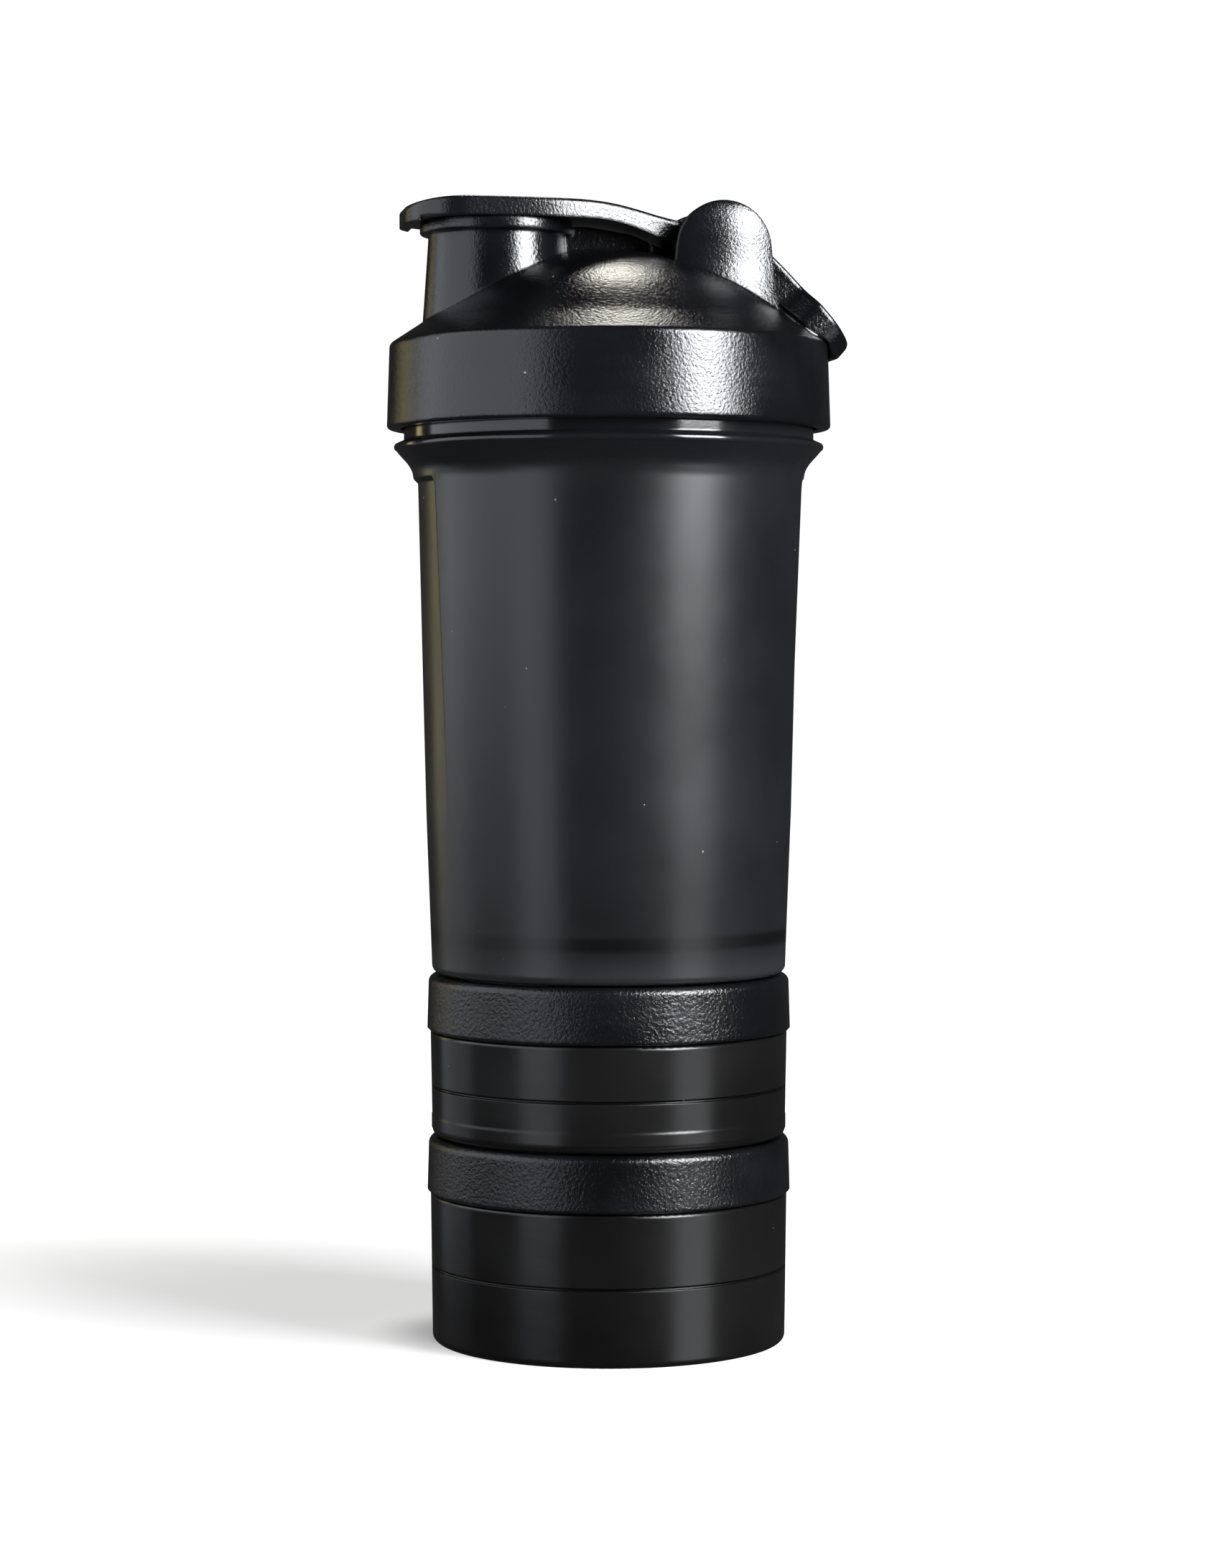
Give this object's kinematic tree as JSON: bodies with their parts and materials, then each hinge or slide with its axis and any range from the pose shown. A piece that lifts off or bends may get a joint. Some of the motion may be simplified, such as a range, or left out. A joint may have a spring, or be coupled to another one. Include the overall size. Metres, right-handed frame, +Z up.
{
  "type": "protein shaker bottle",
  "caption": "Dark shaker bottle: tapered cup, screw lid with spout, flip cap and carry loop, on a stack of screw-on powder jars, whisk ball inside.",
  "frame": {"origin": "centre of the round base that the bottle stands on", "axes": "+Z up the bottle's axis, spout towards -X, hinge and carry loop towards +X"},
  "size_m": [0.0965, 0.094, 0.2409],
  "materials": {
    "jar_smoke": "glossy smoky black polypropylene",
    "cup_smoke": "satin smoky grey polypropylene, slightly see-through",
    "lid_black": "opaque black plastic with fine spark-eroded grain",
    "silicone": "soft matt silicone",
    "steel": "bright drawn stainless wire"
  },
  "bodies": {
    "lower_jar": {"lower_jar": "jar_smoke"},
    "lower_jar_lid": {"lower_jar_lid": "lid_black", "lower_jar_seal": "silicone"},
    "upper_jar": {"upper_jar": "jar_smoke"},
    "upper_jar_lid": {"upper_jar_lid": "lid_black", "upper_jar_seal": "silicone"},
    "cup": {"cup": "cup_smoke"},
    "whisk_ball": {"whisk_ball": "steel"},
    "lid_seal": {"lid_seal": "silicone"},
    "lid": {"lid_shell": "lid_black"},
    "flip_cap": {"flip_cap": "lid_black", "plug_seal": "silicone"},
    "carry_loop": {"carry_loop": "lid_black"}
  },
  "joints": [
    {"name": "lower_lid_lift", "type": "slide", "parent": "lower_jar", "child": "lower_jar_lid", "axis": [0, 0, 1], "range_m": [0, 0.02]},
    {"name": "upper_jar_lift", "type": "slide", "parent": "lower_jar_lid", "child": "upper_jar", "axis": [0, 0, 1], "range_m": [0, 0.02]},
    {"name": "upper_lid_lift", "type": "slide", "parent": "upper_jar", "child": "upper_jar_lid", "axis": [0, 0, 1], "range_m": [0, 0.02]},
    {"name": "cup_lift", "type": "slide", "parent": "upper_jar_lid", "child": "cup", "axis": [0, 0, 1], "range_m": [0, 0.02]},
    {"name": "ball_lift", "type": "slide", "parent": "cup", "child": "whisk_ball", "axis": [0, 0, 1], "range_m": [0, 0.05]},
    {"name": "lid_lift", "type": "slide", "parent": "cup", "child": "lid_seal", "axis": [0, 0, 1], "range_m": [0, 0.027]},
    {"name": "lid_turn", "type": "hinge", "parent": "lid_seal", "child": "lid", "pos_m": [0, 0, 0], "axis": [0, 0, 1], "range_deg": [0, 1080]},
    {"name": "cap_flip", "type": "hinge", "parent": "lid", "child": "flip_cap", "pos_m": [0.0221, 0, 0.2306], "axis": [0, 1, 0], "range_deg": [0, 110]},
    {"name": "loop_swing", "type": "hinge", "parent": "lid", "child": "carry_loop", "pos_m": [0.0221, 0, 0.2306], "axis": [0, -1, 0], "range_deg": [0, 45]}
  ],
  "couplings": [
    {"joint": "lid_lift", "follows": "lid_turn", "m_per_rad": 0.0014324}
  ]
}
